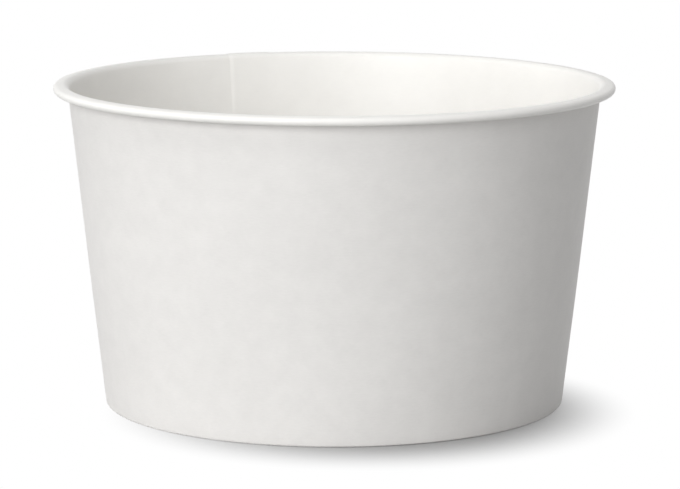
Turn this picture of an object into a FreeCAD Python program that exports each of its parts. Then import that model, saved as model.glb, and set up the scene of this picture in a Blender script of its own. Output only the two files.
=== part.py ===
"""Paper sundae cup, in millimetres: a conical wall wrapped from one board blank, closed by a pressed disc.

The cup is made of two pieces of coated board.
  side_wall    one blank, lapped and sealed down its side, rolled outwards at the rim and tucked in at the foot
  bottom_disc  a round blank pressed into a shallow pan, whose skirt is held between the wall and its tuck
The part stands on its foot at z = 0, with the cup's axis on Z.
"""

import FreeCAD
import Part
import math
import os

# Overall sizes
RIM_DIAMETER = 96.0
CUP_HEIGHT = 55.2
BASE_DIAMETER = 79.0

# Board of the two blanks, with its coating
WALL_BOARD = 0.33
DISC_BOARD = 0.30

# Rolled rim: the bends are measured at the middle of the board, the overhang from the cone at the rim's height
ROLL_OVERHANG = 2.35
ROLL_SHOULDER_RADIUS = 0.94
ROLL_NOSE_RADIUS = 0.515
ROLL_END_RADIUS = 0.25
ROLL_SLOPE = 6.0
ROLL_END_TURN = 172.0
ROLL_END_RUN = 0.75
ROLL_WALL_GAP = 0.10

# Foot: the wall turns in under the disc's skirt and runs up inside it
FOOT_RECESS = 6.0
FOLD_RADIUS = 0.245
TUCK_LENGTH = 4.4
SKIRT_LIFT = 0.10
DISC_BEND_RADIUS = 0.55

# Side seam: the blank's two ends lap, and heat and pressure close them to less than two boards
SEAM_ANGLE = 114.4
LAP_WIDTH = 6.5
LAP_RISE = 0.25
LAP_RAMP_WIDTH = 5.0
LAP_FOOT_TAPER = 1.6
SEAM_STEP = 0.16
SEAM_BEVEL_WIDTH = 0.55

# Shares of board by which the lap's parts bite into the wall, or its groove starts in the air
BITE = 0.25 * WALL_BOARD
AIR = 0.06 * WALL_BOARD
RAMP_SECTIONS = 5

# The cone: its slope is set by the foot, the rim, the roll's overhang and the height
WALL_TOP_DIAMETER = RIM_DIAMETER - 2 * ROLL_OVERHANG
TAPER = math.atan2((WALL_TOP_DIAMETER - BASE_DIAMETER) / 2, CUP_HEIGHT)
UP_THE_WALL = math.pi / 2 - TAPER
DOWN_THE_WALL = UP_THE_WALL - math.pi
INWARDS = math.pi
FOOD_SIDE = WALL_BOARD / 2
OUTER_SIDE = -WALL_BOARD / 2


class BoardPath:
    """The line that a board follows in the r-z plane: straight runs and bends, each tangent to the last.

    A side is a distance to the left of the direction of travel. Because every bend is tangent, the line at any
    side is made of the same runs and bends, which keeps the board's thickness the same all along.
    """

    def __init__(self, r, z, heading):
        self.r = r
        self.z = z
        self.heading = heading
        self.pieces = []

    def straight(self, length):
        self.pieces.append(("straight", self.r, self.z, self.heading, length, 0.0))
        self.r += length * math.cos(self.heading)
        self.z += length * math.sin(self.heading)
        return self

    def bend(self, radius, turn):
        """Turns left by a positive angle in radians, or right by a negative one."""
        self.pieces.append(("bend", self.r, self.z, self.heading, radius, turn))
        hand = math.copysign(1.0, turn)
        centre_r = self.r - hand * radius * math.sin(self.heading)
        centre_z = self.z + hand * radius * math.cos(self.heading)
        self.heading += turn
        self.r = centre_r + hand * radius * math.sin(self.heading)
        self.z = centre_z - hand * radius * math.cos(self.heading)
        return self

    def edges(self, side):
        """The line at one side of the path, as edges from its start to its end."""
        return [offset_edge(*piece, side) for piece in self.pieces]


def point(r, z):
    return FreeCAD.Vector(r, 0, z)


def offset_edge(kind, r, z, heading, size, turn, side):
    """One run or bend of a path, moved to its left by side."""
    start = point(r - side * math.sin(heading), z + side * math.cos(heading))
    if kind == "straight":
        ahead = point(size * math.cos(heading), size * math.sin(heading))
        return Part.makeLine(start, start + ahead)
    hand = math.copysign(1.0, turn)
    centre = point(r - hand * size * math.sin(heading), z + hand * size * math.cos(heading))
    radius = size - hand * side

    def on_bend(angle):
        return centre + point(hand * radius * math.sin(angle), -hand * radius * math.cos(angle))

    return Part.Arc(start, on_bend(heading + turn / 2), on_bend(heading + turn)).toShape()


def layer_wire(path, near, far):
    """The closed outline of all that lies between two sides of a path."""
    ahead = path.edges(near)
    back = path.edges(far)[::-1]
    first_cap = Part.makeLine(path_end(back[-1], "start"), path_end(ahead[0], "start"))
    last_cap = Part.makeLine(path_end(ahead[-1], "finish"), path_end(back[0], "finish"))
    return Part.Wire(Part.__sortEdges__(ahead + [last_cap] + back + [first_cap]))


def path_end(edge, which):
    """The point where an edge of a path starts or finishes."""
    parameter = edge.FirstParameter if which == "start" else edge.LastParameter
    return edge.valueAt(parameter)


def turned(shape, degrees):
    """A copy of a shape, turned about the cup's axis."""
    copy = shape.copy()
    copy.rotate(FreeCAD.Vector(0, 0, 0), FreeCAD.Vector(0, 0, 1), degrees)
    return copy


def spun(wire, start_degrees=0.0, sweep_degrees=360.0):
    """The solid that a closed outline makes when it is spun about the cup's axis."""
    face = turned(Part.Face(wire), start_degrees)
    return face.revolve(FreeCAD.Vector(0, 0, 0), FreeCAD.Vector(0, 0, 1), sweep_degrees)


def lofted(outline, start_degrees, end_degrees, start_depth, end_depth):
    """A solid through outlines whose depth grows evenly with their angle about the cup's axis."""
    sections = []
    for i in range(RAMP_SECTIONS):
        share = i / (RAMP_SECTIONS - 1)
        depth = start_depth + share * (end_depth - start_depth)
        sections.append(turned(outline(depth), start_degrees + share * (end_degrees - start_degrees)))
    return Part.makeLoft(sections, True, False)


def board_radius(z, depth):
    """Radius at height z of the cone that lies depth inside the wall's outer face, square to it."""
    return BASE_DIAMETER / 2 + z * math.tan(TAPER) - depth / math.cos(TAPER)


def seam_degrees(width):
    """The angle that a width along the seam takes up, at the middle of the wall."""
    return math.degrees(width / board_radius(CUP_HEIGHT / 2, 0))


WALL_FOOT_Z = WALL_BOARD / 2 + FOLD_RADIUS * (1 - math.sin(TAPER))
SHOULDER_Z = CUP_HEIGHT - WALL_BOARD / 2 - ROLL_SHOULDER_RADIUS * (1 - math.sin(TAPER))


def wall_point(z):
    """The middle of the board at height z on the straight part of the wall."""
    return board_radius(z, WALL_BOARD / 2), z


def run_up_wall(path, from_z):
    """Takes a path that is at from_z up the cone to the shoulder of the roll."""
    return path.straight((SHOULDER_Z - from_z) / math.cos(TAPER))


def roll_nose(path):
    """Rolls the rim over its shoulder, down the slope of its top and round its nose."""
    slope = math.radians(ROLL_SLOPE)
    reach_left = (
        RIM_DIAMETER / 2
        - WALL_BOARD / 2
        - ROLL_NOSE_RADIUS * (1 - math.sin(slope))
        - ROLL_SHOULDER_RADIUS * (math.cos(TAPER) + math.sin(slope))
        - path.r
    )
    path.bend(ROLL_SHOULDER_RADIUS, -(UP_THE_WALL + slope))
    path.straight(reach_left / math.cos(slope))
    return path.bend(ROLL_NOSE_RADIUS, slope - math.pi)


def roll_end(path):
    """Brings the rolled board back to the wall and turns its end up inside the roll."""
    wall_outside = board_radius(path.z, 0)
    stop_r = wall_outside + ROLL_WALL_GAP + WALL_BOARD / 2 + ROLL_END_RADIUS
    path.straight(path.r - stop_r)
    path.bend(ROLL_END_RADIUS, -math.radians(ROLL_END_TURN))
    return path.straight(ROLL_END_RUN)


def wall_path():
    """The blank from its tucked edge: down inside the foot, round the fold, up the wall and into the roll."""
    fold_flat = (WALL_BOARD + DISC_BOARD - 2 * FOLD_RADIUS) / math.cos(TAPER)
    wall_r, wall_z = wall_point(WALL_FOOT_Z)
    tuck_r = wall_r - fold_flat - 2 * FOLD_RADIUS * math.cos(TAPER) + TUCK_LENGTH * math.sin(TAPER)
    tuck_z = wall_z + 2 * FOLD_RADIUS * math.sin(TAPER) + TUCK_LENGTH * math.cos(TAPER)
    path = BoardPath(tuck_r, tuck_z, DOWN_THE_WALL)
    path.straight(TUCK_LENGTH)
    path.bend(FOLD_RADIUS, -DOWN_THE_WALL)
    path.straight(fold_flat)
    path.bend(FOLD_RADIUS, UP_THE_WALL)
    run_up_wall(path, WALL_FOOT_Z)
    return roll_end(roll_nose(path))


def seam_groove():
    """The shallow trough inside the cup where the outer end of the blank sinks behind the inner one's edge."""
    start_z = FOOT_RECESS + DISC_BOARD

    def outline(depth):
        path = BoardPath(*wall_point(start_z), UP_THE_WALL)
        roll_nose(run_up_wall(path, start_z))
        return layer_wire(path, FOOD_SIDE + WALL_BOARD, FOOD_SIDE - depth)

    ramp_start = SEAM_ANGLE + seam_degrees(LAP_RAMP_WIDTH)
    bevel_end = SEAM_ANGLE - seam_degrees(SEAM_BEVEL_WIDTH)
    ramp = lofted(outline, ramp_start, SEAM_ANGLE, -AIR, SEAM_STEP)
    bevel = lofted(outline, SEAM_ANGLE, bevel_end, SEAM_STEP, -AIR)
    return ramp, bevel


def seam_lap():
    """The outer end of the blank: it climbs over the inner end, lies on it and stops at a square edge."""
    path_start = wall_point(WALL_FOOT_Z)

    def outline(rise):
        length = (SHOULDER_Z - WALL_FOOT_Z) / math.cos(TAPER)
        corners = [
            (0.0, OUTER_SIDE + BITE),
            (length, OUTER_SIDE + BITE),
            (length, OUTER_SIDE - rise),
            (LAP_FOOT_TAPER, OUTER_SIDE - rise),
        ]
        points = []
        for along, side in corners:
            r = path_start[0] + along * math.sin(TAPER) - side * math.cos(TAPER)
            z = path_start[1] + along * math.cos(TAPER) + side * math.sin(TAPER)
            points.append(point(r, z))
        return Part.makePolygon(points + points[:1])

    ramp_start = SEAM_ANGLE + seam_degrees(LAP_RAMP_WIDTH)
    climb = lofted(outline, ramp_start, SEAM_ANGLE, -AIR, LAP_RISE)
    lie = spun(outline(LAP_RISE), SEAM_ANGLE - seam_degrees(LAP_WIDTH), seam_degrees(LAP_WIDTH))
    return climb, lie


def side_wall():
    """The wall: the wrapped blank with its roll and its tuck, and the lap of its side seam."""
    wall = spun(layer_wire(wall_path(), FOOD_SIDE, OUTER_SIDE), SEAM_ANGLE)
    for groove in seam_groove():
        wall = wall.cut(groove)
    for ply in seam_lap():
        wall = wall.fuse(ply)
    return wall.removeSplitter()


def bottom_disc():
    """The disc: a flat panel, a bend and a skirt that follows the inside of the wall down to the fold."""
    panel_z = FOOT_RECESS + DISC_BOARD / 2
    bend_z = panel_z - DISC_BEND_RADIUS * (1 + math.sin(TAPER))
    bend_r = board_radius(bend_z, WALL_BOARD + DISC_BOARD / 2)
    skirt_end_z = WALL_BOARD / 2 + FOLD_RADIUS * (1 + math.sin(TAPER)) + SKIRT_LIFT
    path = BoardPath(0, panel_z, 0.0)
    path.straight(bend_r - DISC_BEND_RADIUS * math.cos(TAPER))
    path.bend(DISC_BEND_RADIUS, DOWN_THE_WALL)
    path.straight((bend_z - skirt_end_z) / math.cos(TAPER))
    return spun(layer_wire(path, DISC_BOARD / 2, -DISC_BOARD / 2))


def only_solid(shape):
    """The one closed solid that a shape holds."""
    solids = shape.Solids
    if len(solids) != 1 or not solids[0].isValid():
        raise ValueError(f"expected one valid solid, found {len(solids)}")
    return solids[0]


def main():
    os.makedirs("parts", exist_ok=True)
    pieces = {"side_wall": side_wall(), "bottom_disc": bottom_disc()}
    for name, shape in pieces.items():
        solid = only_solid(shape)
        solid.exportStep(f"parts/{name}.step")
        print(name, f"volume {solid.Volume:.1f} mm3, {len(solid.Faces)} faces")


main()
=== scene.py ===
"""Paper sundae cup: the coated board of its wall and its bottom disc, and a plain white stage."""

import math
from typing import NamedTuple

import bpy
import numpy as np
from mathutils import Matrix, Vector


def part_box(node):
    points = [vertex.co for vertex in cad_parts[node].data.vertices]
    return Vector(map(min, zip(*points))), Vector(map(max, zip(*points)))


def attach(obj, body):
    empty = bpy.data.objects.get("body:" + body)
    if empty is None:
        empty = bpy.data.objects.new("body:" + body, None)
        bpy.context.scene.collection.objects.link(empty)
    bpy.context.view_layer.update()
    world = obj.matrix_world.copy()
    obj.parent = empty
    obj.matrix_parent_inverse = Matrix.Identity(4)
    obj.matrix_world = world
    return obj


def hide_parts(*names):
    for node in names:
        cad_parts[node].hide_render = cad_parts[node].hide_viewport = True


bl_info = {
    "name": "Paper Sundae Cup",
    "version": (1, 0, 0),
    "blender": (4, 5, 0),
    "location": "View3D > Sidebar > Sundae Cup",
    "description": "Makes the board, the lapped seam and the rolled rim of a paper sundae cup, and its stage",
    "category": "Object",
}

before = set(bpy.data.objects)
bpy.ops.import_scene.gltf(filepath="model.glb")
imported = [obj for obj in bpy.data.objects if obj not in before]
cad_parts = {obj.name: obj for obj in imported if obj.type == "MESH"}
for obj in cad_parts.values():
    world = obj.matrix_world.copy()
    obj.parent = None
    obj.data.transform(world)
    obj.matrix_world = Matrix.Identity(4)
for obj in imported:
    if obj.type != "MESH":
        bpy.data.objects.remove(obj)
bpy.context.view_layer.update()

MM = 0.001
TAU = 2 * math.pi

# The cup's overall sizes in the frame
WALL_LOW, WALL_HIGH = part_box("side_wall")
DISC_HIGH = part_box("bottom_disc")[1]
FRAME_RIM_DIAMETER = round(WALL_HIGH[0] - WALL_LOW[0], 3)
FRAME_HEIGHT = round(WALL_HIGH[2], 4)
FRAME_FLOOR_HEIGHT = round(DISC_HIGH[2], 4)

# A board's faces, in the order of its materials
FOOD_SIDE, OUTER_SIDE, CUT_EDGE = range(3)

# Fineness of the meshes, and the angle past which an edge is sharp
DISC_COLUMNS = 240
FLOOR_COLUMNS = 96
FLOOR_RINGS = 4
SHARP_ANGLE = math.radians(50)

# Share of a board's thickness that is left where the seam's inner edge runs out
FEATHER_SHARE = 0.04

# Rows of the wall's section over which the roll's swell grows, and how many of them lie before the shoulder
SWELL_ROWS = 6
SWELL_LEAD = 2

# Rows over which the marks in the foot grow and fade, and how many of the last ones lie before the fold
MARK_ROWS = 2
MARK_LEAD = 1

# The wall's slow waves: size as a share of the waviness, waves round the cup, drift per metre up, and phase
WALL_WAVES = (
    (0.8, 2, 0, 0.7),
    (0.5, 3, 20, -1.1),
    (0.35, 7, -55, 2.3),
    (0.25, 11, 90, 0.4),
    (0.2, 17, -120, -2.0),
)

# Share of the cup's height over which those waves grow, because the fold keeps the foot round
WAVE_RISE = 0.4

# The disc's slow waves: size, waves round the disc and phase
DISC_WAVES = (
    (0.5, 2, 1.0),
    (0.3, 5, -0.6),
    (0.2, 9, 2.0),
)

# How strongly those waves change the disc's bow
DISC_WAVE_SHARE = 0.5


class Grain(NamedTuple):
    """A noise pattern of the board: its scale per metre, its detail and its roughness."""

    scale: float
    detail: float
    roughness: float


CLOUDS = Grain(260.0, 3.0, 0.6)
BROAD_CLOUDS = Grain(45.0, 2.0, 0.5)
LONG_FIBRES = Grain(900.0, 3.0, 0.65)
CROSS_FIBRES = Grain(1100.0, 2.0, 0.6)
FINE_TOOTH = Grain(4200.0, 2.0, 0.5)
UNEVENNESS = Grain(130.0, 2.0, 0.5)

# How much the fibres' patterns are squeezed along each axis
LONG_FIBRE_SQUEEZE = (1.0, 4.5, 1.0)
CROSS_FIBRE_SQUEEZE = (3.5, 1.0, 1.0)

# Share of the finer clouds among the clouds, and of the long fibres among the fibres
CLOUD_SHARE = 0.55
LONG_FIBRE_SHARE = 0.55

# Contrast of the fibres as a share of the clouds' own, and how far the clouds change the roughness
FLECK_SHARE = 0.4
ROUGHNESS_CHANGE = 0.14


class Finish(NamedTuple):
    """What else a face of the board has: contrast of its clouds, share of fine tooth, heights and shine.

    relief is the height of its fibres and slow that of its slow unevenness, both in metres.
    """

    cloud: float
    tooth: float
    relief: float
    slow: float
    specular: float


FOOD_FINISH = Finish(cloud=0.10, tooth=0.3, relief=8e-6, slow=2.5e-5, specular=0.5)
OUTER_FINISH = Finish(cloud=0.19, tooth=0.6, relief=1.6e-5, slow=4e-5, specular=0.4)
EDGE_FINISH = Finish(cloud=0.16, tooth=1.0, relief=3e-5, slow=0.0, specular=0.2)


class LampPlace(NamedTuple):
    """A lamp's degrees left of the viewer and above the horizon, and its distance and side in metres."""

    azimuth: float
    elevation: float
    distance: float
    side: float


LAMP_PLACES = {
    "key_lamp": LampPlace(33, 18, 0.75, 0.4),
    "side_lamp": LampPlace(110, 18, 0.75, 0.4),
    "top_lamp": LampPlace(20, 65, 0.80, 0.4),
    "front_lamp": LampPlace(10, 20, 0.75, 0.4),
    "floor_lamp": LampPlace(125, 80, 2.00, 0.8),
}

# The floor's size, and the white of its paint for the light that it gives the cup
FLOOR_RADIUS = 4.0
FLOOR_PAINT = 0.82

# Radii between which the camera sees the floor's darker paint turn white, and that pattern's shift and scale.
# The darker paint inside is a painted shadow round the cup, centred a little right of and in front of its
# axis
PAINTED_SHADOW_INNER_RADIUS = 0.0245
PAINTED_SHADOW_OUTER_RADIUS = 0.0463
PAINTED_SHADOW_SHIFT = (-0.0059, 0.0096, 0.0)
PAINTED_SHADOW_SCALE = (1.0, 0.975, 1.0)

# The photograph's frame, where the rim's middle lies a little left of the frame's
IMAGE_WIDTH = 680
CUP_OFFSET_PIXELS = 5.87
SENSOR_WIDTH = 36.0


def length(name, description, default):
    """A length that the sidebar shows, in metres."""
    return bpy.props.FloatProperty(
        name=name, description=description, default=default, precision=5, subtype="DISTANCE", unit="LENGTH"
    )


def angle(name, description, degrees):
    """An angle that the sidebar shows, given here in degrees."""
    return bpy.props.FloatProperty(
        name=name, description=description, default=math.radians(degrees), subtype="ANGLE", unit="ROTATION"
    )


def colour(name, description, default):
    """A colour that the sidebar shows, as linear red, green and blue."""
    return bpy.props.FloatVectorProperty(
        name=name, description=description, default=default, size=3, min=0, max=1, subtype="COLOR"
    )


def share(name, description, default):
    """A share from 0 to 1 that the sidebar shows."""
    return bpy.props.FloatProperty(
        name=name, description=description, default=default, precision=3, min=0, max=1, subtype="FACTOR"
    )


def power(name, description, default):
    """A lamp's power that the sidebar shows, in watts."""
    return bpy.props.FloatProperty(
        name=name, description=description, default=default, precision=3, min=0, subtype="POWER", unit="POWER"
    )


class SundaeCupSizes(bpy.types.PropertyGroup):
    """Sizes of the cup's board and of its bends, at the middle of the board."""

    rim_diameter: length("Rim", "Outside diameter of the rolled rim", FRAME_RIM_DIAMETER)
    height: length("Height", "From the foot to the top of the roll", FRAME_HEIGHT)
    base_diameter: length("Base", "Outside diameter of the cone at its foot", 79.0 * MM)
    roll_overhang: length("Roll overhang", "How far the roll stands out from the cone", 2.35 * MM)
    wall_board: length("Wall board", "Thickness of the wall's coated board", 0.33 * MM)
    shoulder_radius: length("Shoulder", "Bend where the wall turns into the roll", 0.94 * MM)
    nose_radius: length("Nose", "Bend round the roll's outer edge", 0.515 * MM)
    end_radius: length("Roll end", "Bend that turns the board's end up inside the roll", 0.25 * MM)
    roll_slope: angle("Roll slope", "How much the roll's top falls outwards", 6.0)
    end_turn: angle("End turn", "How far the roll's end turns", 172.0)
    end_run: length("End run", "Straight end of the board inside the roll", 0.75 * MM)
    roll_gap: length("Roll gap", "Space between the roll's end and the wall", 0.10 * MM)
    fold_radius: length("Fold", "Bends of the fold at the foot", 0.245 * MM)
    tuck_length: length("Tuck", "How far the wall's edge runs up inside the foot", 4.4 * MM)
    seam_angle: angle("Seam", "Place of the inner edge of the side seam, from +X", 115.0)
    lap_width: length("Lap", "How far the blank's two ends overlap", 6.5 * MM)
    ramp_width: length("Ramp", "Width over which the outer end sinks behind the inner one", 5.0 * MM)
    bevel_width: length("Bevel", "Width of the pressed inner edge of the seam", 0.85 * MM)
    seam_step: length("Step", "Height of the pressed inner edge of the seam", 0.12 * MM)
    sealed_ply: length("Sealed ply", "Thickness of each board in the sealed lap", 0.29 * MM)
    rim_swell: length("Rim swell", "How much the doubled board raises the roll", 0.10 * MM)
    lap_foot_taper: length("Lap foot", "Height over which the lap thickens above the foot", 1.6 * MM)
    waviness: length("Waviness", "How far the board typically strays from a true cone", 0.05 * MM)
    knurl_depth: length("Knurl", "Depth of the marks of the wheel that presses the foot", 0.09 * MM)
    knurl_count: bpy.props.IntProperty(
        name="Knurl marks", description="Number of the wheel's marks round the foot", default=76, min=1
    )
    disc_board: length("Disc board", "Thickness of the bottom disc's coated board", 0.30 * MM)
    floor_height: length("Floor", "Height of the disc's upper face above the table", FRAME_FLOOR_HEIGHT)
    disc_bend_radius: length("Disc bend", "Bend between the disc's panel and its skirt", 0.55 * MM)
    skirt_lift: length("Skirt lift", "Space between the skirt's edge and the fold", 0.10 * MM)
    disc_bow: length("Disc bow", "How far the disc's middle stands up", 0.15 * MM)


class SundaeCupBoard(bpy.types.PropertyGroup):
    """Colours and roughness of the board."""

    film_white: colour("Food side", "Colour of the filmed food side", (0.925, 0.913, 0.885))
    outer_white: colour("Outer side", "Colour of the outer side", (0.832, 0.818, 0.799))
    core: colour("Cut edge", "Colour of the fibres at a cut edge", (0.80, 0.765, 0.70))
    inside_roughness: share("Inside roughness", "Roughness of the film on the food side", 0.42)
    outside_roughness: share("Outside roughness", "Roughness of the outer side", 0.58)
    edge_roughness: share("Edge roughness", "Roughness of a cut edge", 0.85)


class SundaeCupStage(bpy.types.PropertyGroup):
    """The lamps' powers, the level of the light from all round, the floor's painted shade and the camera."""

    key_power: power("Key", "Large lamp at the front left", 2.62)
    side_power: power("Side", "Large lamp at the far left", 0.73)
    top_power: power("Top", "Large lamp above the viewer", 1.35)
    front_power: power("Front", "Large lamp near the viewer", 0.57)
    floor_power: power("Floor lamp", "Lamp above the cup that lights the table alone", 5.0)
    ambient: share("Ambient", "Level of the light that comes from all round", 0.37)
    # Painted shade: how dark the camera sees the floor close to the cup, darker than the light alone makes it
    painted_floor_shade: share("Floor shade", "White of the floor as the camera sees it close to the cup", 0.62)
    camera_distance: length("Camera distance", "From the camera to the point that it aims at", 0.60)
    camera_elevation: angle("Camera elevation", "Height of the camera above the horizon", 9.516)
    camera_aim: length("Camera aim", "Height of the point that the camera aims at", 0.02688)
    camera_lens: bpy.props.FloatProperty(
        name="Lens", description="Focal length in millimetres", default=184.1, subtype="DISTANCE_CAMERA"
    )


def smooth(x):
    """Rises from 0 to 1 while x goes from 0 to 1, level at both ends: three squares less two cubes of x."""
    x = np.clip(x, 0.0, 1.0)
    return x * x * (3 - 2 * x)


def follow(r, z, heading, pieces):
    """Radius, height and heading at points along a line of straight runs and tangent bends.

    A straight run's points are its start plus shares of its length along the heading. A bend's points are its
    centre plus its radius times the sine, and less its radius times the cosine, of the heading, which turns
    evenly. A bend to the right has its centre on the other side. Each piece is its length or radius, its turn
    and its number of steps.
    """
    rows = [np.array([[r, z, heading]])]
    for size, turn, steps in pieces:
        shares = np.arange(1, steps + 1) / steps
        if turn:
            hand = math.copysign(1.0, turn)
            headings = heading + shares * turn
            points_r = r + hand * size * (np.sin(headings) - math.sin(heading))
            points_z = z - hand * size * (np.cos(headings) - math.cos(heading))
        else:
            headings = np.full(steps, heading)
            points_r = r + shares * size * math.cos(heading)
            points_z = z + shares * size * math.sin(heading)
        rows.append(np.stack([points_r, points_z, headings], 1))
        r, z, heading = points_r[-1], points_z[-1], headings[-1]
    return np.concatenate(rows).T


class Cone:
    """The cup's straight wall in the r-z plane, with the slope that its foot, rim and height give it."""

    def __init__(self, sizes):
        self.base_radius = sizes.base_diameter / 2
        top_radius = sizes.rim_diameter / 2 - sizes.roll_overhang
        self.taper = math.atan2(top_radius - self.base_radius, sizes.height)
        self.up = math.pi / 2 - self.taper
        self.down = self.up - math.pi

    def radius(self, z, depth):
        """Radius at height z of the cone that lies depth inside the wall's outer face, square to it."""
        return self.base_radius + z * math.tan(self.taper) - depth / math.cos(self.taper)


def wall_line(sizes, cone):
    """The wall's section from the tucked edge, round the foot, up the cone and through the roll.

    Returns the points' radius, height and heading, and the row where each named part of the section starts.
    """
    half = sizes.wall_board / 2
    fold = sizes.fold_radius
    shoulder = sizes.shoulder_radius
    nose = sizes.nose_radius
    lean = math.sin(cone.taper)
    upright = math.cos(cone.taper)
    foot_z = half + fold * (1 - lean)
    shoulder_z = sizes.height - half - shoulder * (1 - lean)
    foot_r = cone.radius(foot_z, half)
    fold_flat = (sizes.wall_board + sizes.disc_board - 2 * fold) / upright
    tuck_r = foot_r - fold_flat - 2 * fold * upright + sizes.tuck_length * lean
    tuck_z = foot_z + 2 * fold * lean + sizes.tuck_length * upright
    slope = sizes.roll_slope
    top_run = (
        sizes.rim_diameter / 2
        - half
        - nose * (1 - math.sin(slope))
        - shoulder * (upright + math.sin(slope))
        - cone.radius(shoulder_z, half)
    ) / math.cos(slope)
    under_z = sizes.height - 2 * half - 2 * nose
    nose_r = sizes.rim_diameter / 2 - half - nose
    end_r = cone.radius(under_z, 0) + sizes.roll_gap + half + sizes.end_radius
    # Each part's length or radius, its turn and its number of steps
    parts = {
        "tuck": (sizes.tuck_length, 0.0, 4),
        "fold_in": (fold, -cone.down, 6),
        "fold_flat": (fold_flat, 0.0, 1),
        "fold_out": (fold, cone.up, 5),
        "wall": ((shoulder_z - foot_z) / upright, 0.0, 32),
        "shoulder": (shoulder, -(cone.up + slope), 9),
        "roll_top": (top_run, 0.0, 2),
        "nose": (nose, slope - math.pi, 12),
        "roll_under": (nose_r - end_r, 0.0, 3),
        "end_bend": (sizes.end_radius, -sizes.end_turn, 6),
        "end_run": (sizes.end_run, 0.0, 1),
    }
    starts = dict(zip(parts, np.cumsum([0] + [steps for _, _, steps in parts.values()])))
    return follow(tuck_r, tuck_z, cone.down, parts.values()), starts


def blank_columns(sizes, round_length):
    """Places along the blank, closer together at the seam's bevel, in its ramp and in its lap."""
    bevel = sizes.bevel_width
    lap = sizes.lap_width
    ramp_start = round_length - sizes.ramp_width
    # Each stretch's start, end and number of columns
    stretches = [
        (0, bevel, 6),
        (bevel, lap, 12),
        (lap, ramp_start, 448),
        (ramp_start, round_length, 14),
        (round_length, round_length + bevel, 5),
        (round_length + bevel, round_length + lap, 8),
    ]
    places = [np.linspace(start, end, steps, endpoint=False) for start, end, steps in stretches]
    return np.append(np.concatenate(places), round_length + lap)


def blank_depths(sizes, along, round_length):
    """Depth of the blank's food face, the board's thickness and how far it is doubled, at places along it.

    The depth is measured from the wall's own food face. The inner end starts as a feather a step deep and
    rises to the wall over the bevel. The outer end sinks to the same step over the ramp, and on behind the
    inner end over the same bevel. Both ends are pressed thinner where they are sealed.
    """
    ply = sizes.sealed_ply
    step = sizes.seam_step
    relax = 2 * sizes.bevel_width
    edge = smooth(along / sizes.bevel_width)
    ramp = smooth((along - round_length + sizes.ramp_width) / sizes.ramp_width)
    under = smooth((along - round_length) / sizes.bevel_width)
    depth = step * (1 - edge + ramp) + (ply - step) * under
    inner_lap = 1 - smooth((along - sizes.lap_width) / relax)
    outer_lap = smooth((along - round_length + relax) / relax)
    thickness = sizes.wall_board - (sizes.wall_board - ply) * np.maximum(inner_lap, outer_lap)
    return depth, thickness * np.maximum(edge, FEATHER_SHARE), np.maximum(inner_lap, ramp)


def row_shares(sizes, z, starts):
    """How far the seam, the roll's swell, the waves and the foot's marks show in each row, from 0 to 1.

    The seam's steps grow above the foot, over the height of the lap's taper, and fade along the underside of
    the roll. The swell grows from below the shoulder and fades with them. The waves grow up the wall, and the
    marks lie on the tuck and fade at its ends.
    """
    row = np.arange(len(z))
    roll_fade = 1 - smooth((row - starts["roll_under"]) / (starts["end_bend"] - starts["roll_under"]))
    seam = smooth((z - sizes.wall_board) / sizes.lap_foot_taper) * (row >= starts["wall"]) * roll_fade
    swell = smooth((row - starts["shoulder"] + SWELL_LEAD) / SWELL_ROWS) * roll_fade
    wave = smooth((z - z.min()) / (WAVE_RISE * sizes.height))
    mark = smooth(row / MARK_ROWS) * (1 - smooth((row - starts["fold_in"] + MARK_LEAD) / MARK_ROWS))
    return [shares[:, None] for shares in (seam, swell, wave, mark)]


def wall_waves(turn, height):
    """Slow waves of the wall: cosines of multiples of the angle, whose phases drift with the height."""
    return sum(
        size * np.cos(count * turn + drift * height + phase) for size, count, drift, phase in WALL_WAVES
    )


def side_wall_grids(sizes):
    """The food face and the outer face of the wrapped blank, the cells that are board, and the flat places.

    A point is the section's point moved square to its heading by the depth of its face, and in or out by the
    waves, then turned about the axis by its place along the blank. Rows follow the section and columns the
    blank.
    """
    cone = Cone(sizes)
    (r, z, heading), starts = wall_line(sizes, cone)
    round_length = TAU * cone.radius(sizes.height / 2, 0)
    along = blank_columns(sizes, round_length)
    turn = sizes.seam_angle - along * TAU / round_length
    depth, thickness, doubled = blank_depths(sizes, along, round_length)
    seam, swell, wave, mark = row_shares(sizes, z, starts)

    food_side = sizes.wall_board / 2 - depth * seam + sizes.rim_swell * swell * doubled
    board = sizes.wall_board - (sizes.wall_board - thickness) * seam
    knurl = sizes.knurl_depth * mark * (0.5 - 0.5 * np.cos(sizes.knurl_count * turn))
    outer_side = food_side - np.maximum(board, FEATHER_SHARE * sizes.sealed_ply) + knurl
    stray = sizes.waviness * wave * wall_waves(turn, z[:, None])

    def surface(side):
        """Points of the face that lies this far to the left of the section's line."""
        radius = r[:, None] - side * np.sin(heading)[:, None] + stray
        height = z[:, None] + side * np.cos(heading)[:, None]
        return np.stack([radius * np.cos(turn), radius * np.sin(turn), height], 2)

    distance = np.concatenate([[0], np.cumsum(np.hypot(np.diff(r), np.diff(z)))])
    place = np.stack(np.broadcast_arrays(along[None, :], distance[:, None]), 2)
    cell_along = along[:-1]
    cell_row = np.arange(len(z) - 1)[:, None]
    # The foot and the roll's underside hold the inner end alone, and the last bend in the roll neither end
    holds_both = (cell_row >= starts["wall"]) & (cell_row < starts["roll_under"])
    holds_inner = cell_row < starts["end_bend"]
    keep = ((cell_along < round_length) | holds_both) & ((cell_along >= sizes.lap_width) | holds_inner)
    return surface(food_side), surface(outer_side), keep, place


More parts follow.
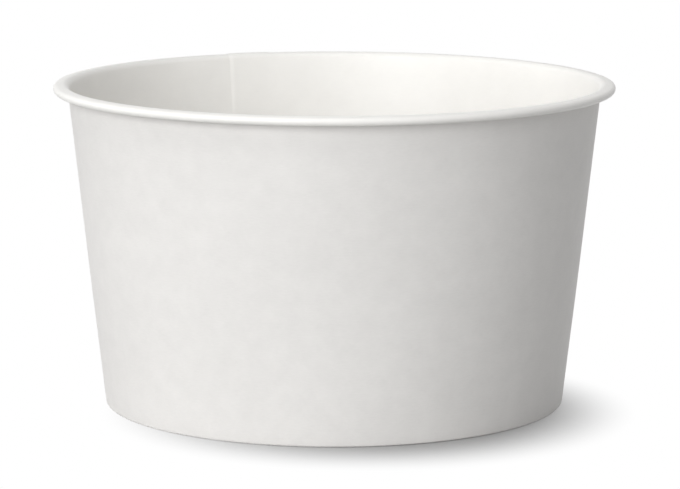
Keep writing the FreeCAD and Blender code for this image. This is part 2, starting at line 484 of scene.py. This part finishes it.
def closed_sheet(name, near, far, keep, place, materials):
    """A mesh of a sheet's two faces and of the cut edges all round them.

    near and far are grids of points, keep says which cells of the grid are board, and place gives the place
    of each point on the flat blank. A side is made wherever only one kept cell uses an edge. The near face is
    the one to the left of the way that the rows run.
    """
    count = near.shape[0] * near.shape[1]
    index = np.arange(count).reshape(near.shape[:2])
    corners = [index[:-1, :-1], index[:-1, 1:], index[1:, 1:], index[1:, :-1]]
    cells = np.stack([corner[keep] for corner in corners], 1)
    edges = np.concatenate([cells[:, [0, 1]], cells[:, [1, 2]], cells[:, [2, 3]], cells[:, [3, 0]]])
    _, first, uses = np.unique(np.sort(edges, 1), axis=0, return_index=True, return_counts=True)
    rim = edges[first[uses == 1]]
    sides = np.stack([rim[:, 1], rim[:, 0], rim[:, 0] + count, rim[:, 1] + count], 1)
    quads = np.concatenate([cells, cells[:, ::-1] + count, sides])
    finish = np.repeat([FOOD_SIDE, OUTER_SIDE, CUT_EDGE], [len(cells), len(cells), len(sides)])
    points = np.concatenate([near.reshape(-1, 3), far.reshape(-1, 3)])
    flat = np.concatenate([place.reshape(-1, 2)] * 2)
    used, quads = np.unique(quads, return_inverse=True)
    return board_mesh(name, points[used], quads.reshape(-1, 4).tolist(), finish, flat[used], materials)


def board_mesh(name, points, faces, finish, flat, materials):
    """An object made of faces, with each face's material and each point's place on the blank as its UV."""
    mesh = bpy.data.meshes.new(name)
    mesh.from_pydata(points, [], faces)
    mesh.polygons.foreach_set("material_index", finish.astype(np.int32))
    mesh.polygons.foreach_set("use_smooth", np.ones(len(finish), dtype=bool))
    corner_points = np.empty(len(mesh.loops), dtype=np.int32)
    mesh.loops.foreach_get("vertex_index", corner_points)
    uv = mesh.uv_layers.new(name="blank")
    uv.data.foreach_set("uv", flat[corner_points].astype(np.float32).ravel())
    for material in materials:
        mesh.materials.append(material)
    mesh.set_sharp_from_angle(angle=SHARP_ANGLE)
    mesh.validate()
    mesh.update()
    piece = bpy.data.objects.new(name, mesh)
    bpy.context.scene.collection.objects.link(piece)
    return piece


def disc_line(sizes, cone):
    """The bottom disc's section from its middle: radius, height and heading on the panel, bend and skirt."""
    half = sizes.disc_board / 2
    bend = sizes.disc_bend_radius
    panel_z = sizes.floor_height - half
    bend_z = panel_z - bend * (1 + math.sin(cone.taper))
    bend_r = cone.radius(bend_z, sizes.wall_board + half)
    fold_top = sizes.wall_board / 2 + sizes.fold_radius * (1 + math.sin(cone.taper))
    skirt = (bend_z - fold_top - sizes.skirt_lift) / math.cos(cone.taper)
    # Each part's length or radius, its turn and its number of steps
    parts = [
        (bend_r - bend * math.cos(cone.taper), 0.0, 34),
        (bend, cone.down, 8),
        (skirt, 0.0, 6),
    ]
    return follow(0.0, panel_z, 0.0, parts)


def bottom_disc_points(sizes):
    """The disc's points, the number of rings between its two middles, and the row of faces at its cut edge.

    The points run over the upper face from the middle to the skirt's edge, then back over the lower face.
    Each is the section's point moved square to its heading, turned about the axis, and raised by a bow that
    falls with the square of the radius. Cosines of the angle make the bow uneven between middle and edge.
    """
    r, z, heading = disc_line(sizes, Cone(sizes))
    half = sizes.disc_board / 2
    upper = np.stack([r - half * np.sin(heading), z + half * np.cos(heading)], 1)
    lower = np.stack([r + half * np.sin(heading), z - half * np.cos(heading)], 1)[::-1]
    section = np.concatenate([upper, lower])
    turn = np.arange(DISC_COLUMNS) * TAU / DISC_COLUMNS
    radius = section[:, :1] * np.ones(DISC_COLUMNS)
    bow = np.clip(1 - (radius / r.max()) ** 2, 0, 1)
    waves = sum(size * np.cos(count * turn + phase) for size, count, phase in DISC_WAVES)
    height = section[:, 1:] + sizes.disc_bow * bow * (1 + DISC_WAVE_SHARE * waves * (1 - bow))
    points = np.stack([radius * np.cos(turn), radius * np.sin(turn), height], 2)
    rings = points[1:-1].reshape(-1, 3)
    middles = points[[0, -1], 0]
    return np.concatenate([middles[:1], rings, middles[1:]]), len(section) - 2, len(r) - 1


def ring_faces(rings, columns):
    """Faces from a middle point out over rings of points round it.

    Returns them with the points of the last ring, and with the neighbour of each.
    """
    index = 1 + np.arange(rings * columns).reshape(rings, columns)
    around = np.roll(index, -1, 1)
    fan = np.stack([np.zeros(columns, int), index[0], around[0]], 1)
    quads = np.stack([index[:-1], index[1:], around[1:], around[:-1]], 2).reshape(-1, 4)
    return fan.tolist() + quads.tolist(), index[-1], around[-1]


def disc_faces(rings, edge_row):
    """Faces of the closed disc, from its upper middle to its lower one, and each face's finish."""
    faces, last_ring, neighbours = ring_faces(rings, DISC_COLUMNS)
    lower_middle = np.full(DISC_COLUMNS, rings * DISC_COLUMNS + 1)
    faces += np.stack([last_ring, lower_middle, neighbours], 1).tolist()
    row = np.repeat(np.arange(rings + 1), DISC_COLUMNS)
    return faces, np.select([row < edge_row, row == edge_row], [FOOD_SIDE, CUT_EDGE], OUTER_SIDE)


def node_group(name, inputs, outputs):
    """An empty shader node group with its sockets, and its input and output nodes."""
    group = bpy.data.node_groups.new(name, "ShaderNodeTree")
    for label, kind, default in inputs:
        socket = group.interface.new_socket(label, in_out="INPUT", socket_type=kind)
        if default is not None:
            socket.default_value = default
    for label, kind in outputs:
        group.interface.new_socket(label, in_out="OUTPUT", socket_type=kind)
    return group, group.nodes.new("NodeGroupInput"), group.nodes.new("NodeGroupOutput")


class Wiring:
    """Adds nodes to a tree and links them."""

    def __init__(self, tree):
        self.tree = tree

    def node(self, kind, values=None, **settings):
        """A new node with its settings, and with a value or a link in each named or numbered input."""
        made = self.tree.nodes.new(kind)
        for key, value in settings.items():
            setattr(made, key, value)
        for socket, value in (values or {}).items():
            self.feed(made.inputs[socket], value)
        return made

    def feed(self, socket, value):
        """Links an output to an input, or sets the input's own value."""
        if isinstance(value, bpy.types.NodeSocket):
            self.tree.links.new(value, socket)
        else:
            socket.default_value = value

    def math(self, operation, first, second):
        """The outcome of a math node on two values or outputs."""
        return self.node("ShaderNodeMath", {0: first, 1: second}, operation=operation).outputs[0]

    def blend(self, first, second, part):
        """The first value times a part, plus the second times what is left of 1."""
        return self.math("ADD", self.math("MULTIPLY", first, part), self.math("MULTIPLY", second, 1 - part))

    def about_zero(self, value, size):
        """A value that runs from 0 to 1, moved to lie evenly about 0 and multiplied by the size."""
        return self.math("MULTIPLY", self.math("SUBTRACT", value, 0.5), size)

    def noise(self, place, grain):
        """A noise pattern of this grain, from 0 to 1."""
        values = {"Vector": place, "Scale": grain.scale, "Detail": grain.detail, "Roughness": grain.roughness}
        return self.node("ShaderNodeTexNoise", values).outputs["Fac"]

    def squeezed(self, place, scale):
        """The place, multiplied by a scale of its own on each axis."""
        return self.node("ShaderNodeMapping", {"Vector": place, "Scale": scale}).outputs[0]


def board_fibres():
    """Shader group that makes the clouds, fibres and fine tooth of paperboard from the place on it."""
    name = "Board fibres"
    if name in bpy.data.node_groups:
        return bpy.data.node_groups[name]
    inputs = [
        ("Place", "NodeSocketVector", None),
        ("White", "NodeSocketColor", (0.85, 0.84, 0.82, 1)),
        ("Cloud", "NodeSocketFloat", 0.03),
        ("Tooth", "NodeSocketFloat", 0.5),
        ("Roughness", "NodeSocketFloat", 0.5),
    ]
    outputs = [
        ("Color", "NodeSocketColor"),
        ("Roughness", "NodeSocketFloat"),
        ("Height", "NodeSocketFloat"),
    ]
    group, given, out = node_group(name, inputs, outputs)
    wires = Wiring(group)
    place = given.outputs["Place"]
    contrast = given.outputs["Cloud"]
    clouds = wires.noise(place, CLOUDS)
    long_fibres = wires.noise(wires.squeezed(place, LONG_FIBRE_SQUEEZE), LONG_FIBRES)
    cross_fibres = wires.noise(wires.squeezed(place, CROSS_FIBRE_SQUEEZE), CROSS_FIBRES)

    broad_clouds = wires.noise(place, BROAD_CLOUDS)
    shade = wires.about_zero(wires.blend(clouds, broad_clouds, CLOUD_SHARE), contrast)
    flecks = wires.about_zero(long_fibres, wires.math("MULTIPLY", contrast, FLECK_SHARE))
    value = wires.math("ADD", 1.0, wires.math("ADD", shade, flecks))
    tinted = wires.node("ShaderNodeHueSaturation", {"Color": given.outputs["White"], "Value": value})
    wires.feed(out.inputs["Color"], tinted.outputs["Color"])

    change = wires.about_zero(clouds, ROUGHNESS_CHANGE)
    wires.feed(out.inputs["Roughness"], wires.math("ADD", given.outputs["Roughness"], change))

    fibres = wires.blend(long_fibres, cross_fibres, LONG_FIBRE_SHARE)
    tooth = wires.math("MULTIPLY", wires.noise(place, FINE_TOOTH), given.outputs["Tooth"])
    wires.feed(out.inputs["Height"], wires.math("ADD", fibres, tooth))
    return group


def board_material(name, on_blank, white, roughness, finish):
    """A satin board: colour, roughness and relief from the shared group, over the board's slow unevenness.

    Its fibres follow the flat blank, or else the object's own coordinates.
    """
    material = bpy.data.materials.new(name)
    material.use_nodes = True
    wires = Wiring(material.node_tree)
    shader = material.node_tree.nodes["Principled BSDF"]
    object_place = wires.node("ShaderNodeTexCoord").outputs["Object"]
    place = wires.node("ShaderNodeUVMap", uv_map="blank").outputs["UV"] if on_blank else object_place
    values = {
        "Place": place,
        "White": (*white, 1),
        "Cloud": finish.cloud,
        "Tooth": finish.tooth,
        "Roughness": roughness,
    }
    fibres = wires.node("ShaderNodeGroup", values, node_tree=board_fibres())
    unevenness = wires.noise(object_place, UNEVENNESS)
    slow = wires.node("ShaderNodeBump", {"Distance": finish.slow, "Height": unevenness})
    relief = {"Distance": finish.relief, "Height": fibres.outputs["Height"], "Normal": slow.outputs["Normal"]}
    bump = wires.node("ShaderNodeBump", relief)
    wires.feed(shader.inputs["Base Color"], fibres.outputs["Color"])
    wires.feed(shader.inputs["Roughness"], fibres.outputs["Roughness"])
    wires.feed(shader.inputs["Normal"], bump.outputs["Normal"])
    shader.inputs["Specular IOR Level"].default_value = finish.specular
    return material


def board_finishes(prefix, board, on_blank):
    """The materials of a blank's filmed food side, outer side and cut edge, in the order of its faces."""
    looks = [
        ("_food_side", on_blank, board.film_white, board.inside_roughness, FOOD_FINISH),
        ("_outer_side", on_blank, board.outer_white, board.outside_roughness, OUTER_FINISH),
        ("_cut_edge", False, board.core, board.edge_roughness, EDGE_FINISH),
    ]
    return [board_material(prefix + name, *look) for name, *look in looks]


def look_from(thing, aim, azimuth, elevation, distance):
    """Puts a lamp or camera into the scene, left of the viewer and above the horizon, facing its aim."""
    away = Vector((
        -math.sin(azimuth) * math.cos(elevation),
        -math.cos(azimuth) * math.cos(elevation),
        math.sin(elevation),
    ))
    thing.location = Vector(aim) + away * distance
    thing.rotation_euler = away.to_track_quat("Z", "Y").to_euler()
    bpy.context.scene.collection.objects.link(thing)
    return thing


def lamp(name, watts, aim):
    """A square lamp at its place in LAMP_PLACES that faces its aim."""
    place = LAMP_PLACES[name]
    data = bpy.data.lights.new(name, "AREA")
    data.shape = "SQUARE"
    data.size = place.side
    data.energy = watts
    made = bpy.data.objects.new(name, data)
    return look_from(made, aim, math.radians(place.azimuth), math.radians(place.elevation), place.distance)


def keep_light_to(lamps, receivers, name):
    """Makes lamps light only these objects, so that the table's shadow is set apart from the cup's light."""
    collection = bpy.data.collections.new(name)
    for receiver in receivers:
        collection.objects.link(receiver)
    for made in lamps:
        made.light_linking.receiver_collection = collection


def ray_masks(wires):
    """1 for rays from the camera or passed on to it by gloss or glass, and 1 for the camera's own alone."""
    path = wires.node("ShaderNodeLightPath")
    from_camera = path.outputs["Is Camera Ray"]
    seen = wires.math("MAXIMUM", from_camera, path.outputs["Is Glossy Ray"])
    return wires.math("MAXIMUM", seen, path.outputs["Is Transmission Ray"]), from_camera


def white_world(ambient):
    """A world that is white to look at and gives even light of a lower level."""
    world = bpy.data.worlds.new("studio")
    bpy.context.scene.world = world
    world.use_nodes = True
    wires = Wiring(world.node_tree)
    background = world.node_tree.nodes["Background"]
    seen, _ = ray_masks(wires)
    background.inputs["Color"].default_value = (1, 1, 1, 1)
    level = wires.math("ADD", wires.math("MULTIPLY", seen, 1.0 - ambient), ambient)
    wires.feed(background.inputs["Strength"], level)


def floor_material(shade):
    """A white table top that keeps the cup's shadow and fades into the white background further out.

    Its paint is white for the light that it gives the cup, and of the shade's level for the camera. That
    level is a darker painted shade, shown within a ring round the cup and fading to white further out, so the
    floor holds a painted shadow on top of the real one.
    """
    material = bpy.data.materials.new("table_top")
    material.use_nodes = True
    tree = material.node_tree
    tree.nodes.remove(tree.nodes["Principled BSDF"])
    wires = Wiring(tree)
    seen, from_camera = ray_masks(wires)
    # A ring round a point a little right of and in front of the cup's axis, reaching a little further front
    # to back: where the painted shadow shows
    pattern = {
        "Vector": wires.node("ShaderNodeTexCoord").outputs["Object"],
        "Location": PAINTED_SHADOW_SHIFT,
        "Scale": PAINTED_SHADOW_SCALE,
    }
    place = wires.node("ShaderNodeMapping", pattern).outputs[0]
    reach = wires.node("ShaderNodeVectorMath", {0: place}, operation="LENGTH").outputs["Value"]
    far = wires.node(
        "ShaderNodeMapRange",
        {"Value": reach, "From Min": PAINTED_SHADOW_INNER_RADIUS, "From Max": PAINTED_SHADOW_OUTER_RADIUS},
        interpolation_type="SMOOTHSTEP",
    ).outputs[0]
    # Painted shade: the camera sees the paint at the shade's level, darker than the light alone makes the
    # floor
    level = wires.math("ADD", wires.math("MULTIPLY", from_camera, shade - FLOOR_PAINT), FLOOR_PAINT)
    paint = wires.node("ShaderNodeBsdfDiffuse", {"Color": level})
    white = wires.node("ShaderNodeEmission", {"Strength": 1.0})
    white_part = wires.math("MULTIPLY", far, seen)
    mixed = wires.node("ShaderNodeMixShader", {0: white_part, 1: paint.outputs[0], 2: white.outputs[0]})
    wires.feed(tree.nodes["Material Output"].inputs["Surface"], mixed.outputs[0])
    return material


def table_top(shade):
    """A round flat floor of rings: each ring's points lie on a circle whose radius grows evenly."""
    turn = np.arange(FLOOR_COLUMNS) * TAU / FLOOR_COLUMNS
    radii = np.linspace(0, FLOOR_RADIUS, FLOOR_RINGS + 1)[1:]
    rings = radii[:, None, None] * np.stack([np.cos(turn), np.sin(turn), 0 * turn], 1)
    faces, _, _ = ring_faces(FLOOR_RINGS, FLOOR_COLUMNS)
    mesh = bpy.data.meshes.new("table_top")
    mesh.from_pydata(np.concatenate([np.zeros((1, 3)), rings.reshape(-1, 3)]), [], faces)
    # The floor's material holds the painted shadow round the cup
    mesh.materials.append(floor_material(shade))
    floor = bpy.data.objects.new("table_top", mesh)
    bpy.context.scene.collection.objects.link(floor)
    return floor


def camera(stage):
    """The camera at the photograph's viewing angle."""
    data = bpy.data.cameras.new("camera")
    data.sensor_width = SENSOR_WIDTH
    data.lens = stage.camera_lens
    data.shift_x = CUP_OFFSET_PIXELS / IMAGE_WIDTH
    data.clip_start = 0.01
    data.clip_end = 50.0
    made = bpy.data.objects.new("camera", data)
    aim = (0, 0, stage.camera_aim)
    bpy.context.scene.camera = look_from(made, aim, 0.0, stage.camera_elevation, stage.camera_distance)


class SUNDAECUP_OT_side_wall(bpy.types.Operator):
    """Wraps the wall's blank into a cone, laps its seam, rolls its rim and tucks in its foot"""

    bl_idname = "sundae_cup.side_wall"
    bl_label = "Side wall"

    def execute(self, context):
        cup = context.scene.sundae_cup
        near, far, keep, place = side_wall_grids(cup.sizes)
        finishes = board_finishes("wall", cup.board, on_blank=True)
        piece = closed_sheet("cup_wall", near, far, keep, place, finishes)
        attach(piece, "root")
        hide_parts("side_wall")
        return {"FINISHED"}


class SUNDAECUP_OT_bottom_disc(bpy.types.Operator):
    """Presses the bottom disc and its skirt"""

    bl_idname = "sundae_cup.bottom_disc"
    bl_label = "Bottom disc"

    def execute(self, context):
        cup = context.scene.sundae_cup
        points, rings, edge_row = bottom_disc_points(cup.sizes)
        faces, finish = disc_faces(rings, edge_row)
        finishes = board_finishes("disc", cup.board, on_blank=False)
        piece = board_mesh("cup_bottom", points, faces, finish, points[:, :2], finishes)
        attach(piece, "root")
        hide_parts("bottom_disc")
        return {"FINISHED"}


class SUNDAECUP_OT_stage(bpy.types.Operator):
    """Sets up the white floor, the lamps, the world and the camera"""

    bl_idname = "sundae_cup.stage"
    bl_label = "Stage"

    def execute(self, context):
        cup = context.scene.sundae_cup
        stage = cup.stage
        middle = (0, 0, cup.sizes.height / 2)
        floor = table_top(stage.painted_floor_shade)
        cup_lamps = [
            lamp("key_lamp", stage.key_power, middle),
            lamp("side_lamp", stage.side_power, middle),
            lamp("top_lamp", stage.top_power, middle),
            lamp("front_lamp", stage.front_power, middle),
        ]
        floor_lamp = lamp("floor_lamp", stage.floor_power, (0, 0, 0))
        pieces = [item for item in context.scene.objects if item.type == "MESH" and item != floor]
        keep_light_to(cup_lamps, pieces, "on_cup")
        keep_light_to([floor_lamp], [floor], "on_floor")
        white_world(stage.ambient)
        context.scene.view_settings.view_transform = "Standard"
        camera(stage)
        return {"FINISHED"}


class SundaeCupSettings(bpy.types.PropertyGroup):
    """All that a user may change, in one place."""

    sizes: bpy.props.PointerProperty(type=SundaeCupSizes, name="Sizes", description="Sizes of the board")
    board: bpy.props.PointerProperty(type=SundaeCupBoard, name="Board", description="Finish of the board")
    stage: bpy.props.PointerProperty(type=SundaeCupStage, name="Stage", description="Lamps and camera")


class SUNDAECUP_PT_panel(bpy.types.Panel):
    """Sidebar panel with the cup's settings and a button for each piece"""

    bl_idname = "SUNDAECUP_PT_panel"
    bl_label = "Sundae Cup"
    bl_space_type = "VIEW_3D"
    bl_region_type = "UI"
    bl_category = "Sundae Cup"

    def draw(self, context):
        cup = context.scene.sundae_cup
        for label, group in (("Sizes", cup.sizes), ("Board", cup.board), ("Stage", cup.stage)):
            box = self.layout.box()
            box.label(text=label)
            for name in group.__annotations__:
                box.prop(group, name)
        for operator in OPERATORS:
            self.layout.operator(operator.bl_idname)


OPERATORS = (SUNDAECUP_OT_side_wall, SUNDAECUP_OT_bottom_disc, SUNDAECUP_OT_stage)
CLASSES = (SundaeCupSizes, SundaeCupBoard, SundaeCupStage, SundaeCupSettings, *OPERATORS, SUNDAECUP_PT_panel)


def register():
    """Registers every class and gives the scene its settings."""
    for made in CLASSES:
        bpy.utils.register_class(made)
    bpy.types.Scene.sundae_cup = bpy.props.PointerProperty(type=SundaeCupSettings)


def unregister():
    """Takes the settings and the classes away again, the last first."""
    del bpy.types.Scene.sundae_cup
    for made in reversed(CLASSES):
        bpy.utils.unregister_class(made)


def main():
    """Registers the add-on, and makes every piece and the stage."""
    register()
    bpy.ops.sundae_cup.side_wall()
    bpy.ops.sundae_cup.bottom_disc()
    bpy.ops.sundae_cup.stage()


if __name__ == "__main__":
    main()
